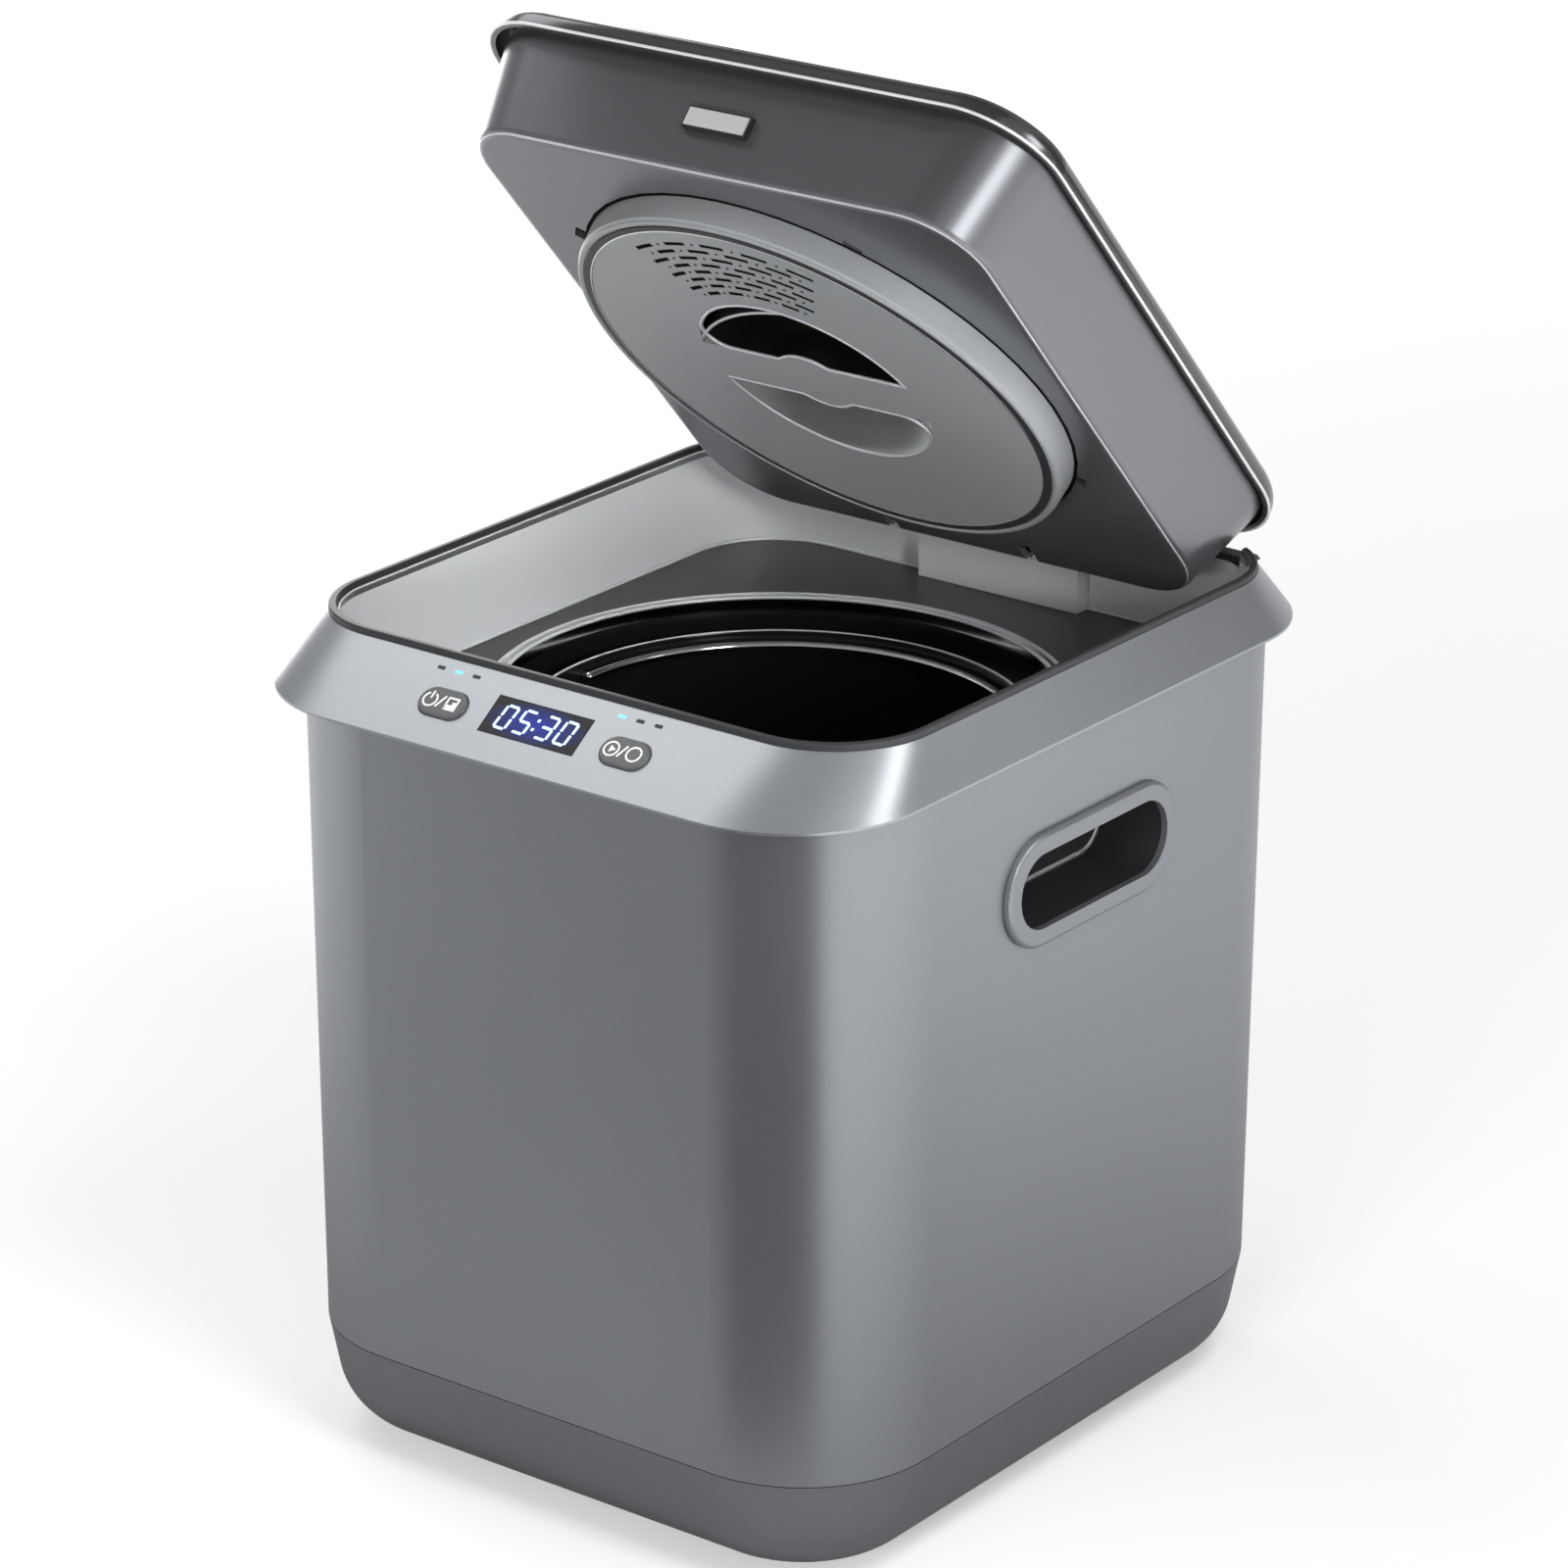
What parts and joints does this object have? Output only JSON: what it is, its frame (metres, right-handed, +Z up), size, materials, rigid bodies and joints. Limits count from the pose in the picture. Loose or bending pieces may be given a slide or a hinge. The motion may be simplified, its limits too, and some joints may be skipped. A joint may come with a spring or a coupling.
{
  "type": "food waste composter",
  "caption": "Countertop food waste composter with a hinged lid, twist-off filter cover, lift-out bucket with bail, stirring agitator and push-button panel.",
  "frame": {"origin": "centre of the footprint, on the surface that the composter stands on", "axes": "+Z up, -Y towards the control panel at the front, +X to the right seen from the front"},
  "size_m": [0.272, 0.3248, 0.5252],
  "materials": {
    "body": "satin metallic grey paint",
    "tray": "satin dark grey moulding",
    "collar": "satin metallic grey",
    "seal": "soft dark lip",
    "liner": "satin metallic grey",
    "dark": "satin near-black moulding",
    "polished": "polished",
    "coated": "black non-stick coating",
    "steel": "bare steel",
    "alloy": "cast alloy",
    "board": "circuit board",
    "lid": "satin metallic grey",
    "lid_cap": "satin dark grey",
    "cover": "satin metallic grey",
    "carbon": "carbon pad in fleece",
    "window": "dark window",
    "lit": "lit",
    "button": "satin dark grey",
    "rubber": "matte",
    "strike": "light grey",
    "nylon": "natural nylon"
  },
  "bodies": {
    "base": {"base_tray": "tray", "rubber_feet": "rubber", "body_shell": "body", "rear_vent": "dark", "power_inlet": "dark", "inlet_pins": "polished", "handle_cup_right": "dark", "handle_cup_left": "dark", "handle_bezel_right": "collar", "handle_bezel_left": "collar", "collar": "collar", "lip_seal": "seal", "well_liner": "liner", "hinge_block": "liner", "hinge_deck": "seal", "hinge_pin": "steel", "well_ring": "polished", "chamber": "coated", "heater_plate": "alloy", "chassis_plate": "steel", "chassis_screws": "steel", "gearbox": "alloy", "motor": "steel", "drive_bush": "nylon", "fan_frame": "dark", "main_board": "board", "panel_board": "board", "display_window": "window", "lit_lights": "lit", "dark_lights": "dark", "catch_magnet": "steel"},
    "lid": {"lid_cap": "lid_cap", "lid_shell": "lid", "strike_frame": "dark", "strike_plate": "strike", "filter_housing": "dark", "carbon_filter": "carbon"},
    "cover": {"filter_cover": "cover", "cover_seal": "seal"},
    "bucket": {"bucket": "coated"},
    "bail": {"bail_handle": "polished"},
    "agitator": {"agitator": "coated"},
    "drive": {"drive_coupling": "steel"},
    "fan": {"fan_impeller": "dark"},
    "power_button": {"power_button": "button"},
    "enter_button": {"enter_button": "button"}
  },
  "joints": [
    {"name": "lid_hinge", "type": "hinge", "parent": "base", "child": "lid", "pos_m": [0, 0.1397, 0.3082], "axis": [-1, 0, 0], "range_deg": [-48, 27]},
    {"name": "cover_twist", "type": "hinge", "parent": "lid", "child": "cover", "pos_m": [0, 0.02259, 0.4015], "axis": [0, 0.7431, 0.6691], "range_deg": [0, 25]},
    {"name": "bucket_lift", "type": "slide", "parent": "base", "child": "bucket", "axis": [0, 0, 1], "range_m": [0, 0.035]},
    {"name": "bail_swing", "type": "hinge", "parent": "bucket", "child": "bail", "pos_m": [0, -0.008, 0.268], "axis": [1, 0, 0], "range_deg": [0, 180]},
    {"name": "drive_spin", "type": "hinge", "parent": "base", "child": "drive", "pos_m": [0, -0.008, 0.08], "axis": [0, 0, 1], "continuous": true},
    {"name": "agitator_spin", "type": "hinge", "parent": "bucket", "child": "agitator", "pos_m": [0, -0.008, 0.111], "axis": [0, 0, 1], "continuous": true},
    {"name": "fan_spin", "type": "hinge", "parent": "base", "child": "fan", "pos_m": [0, 0.13802, 0.172], "axis": [0, 1, 0], "continuous": true},
    {"name": "power_press", "type": "slide", "parent": "base", "child": "power_button", "axis": [0, 0.5742, -0.8187], "range_m": [0, 0.001], "stiffness_N_per_m": 400, "springref_m": -0.0005},
    {"name": "enter_press", "type": "slide", "parent": "base", "child": "enter_button", "axis": [0, 0.5742, -0.8187], "range_m": [0, 0.001], "stiffness_N_per_m": 400, "springref_m": -0.0005}
  ],
  "couplings": [
    {"joint": "drive_spin", "follows": "agitator_spin", "ratio": 1}
  ]
}
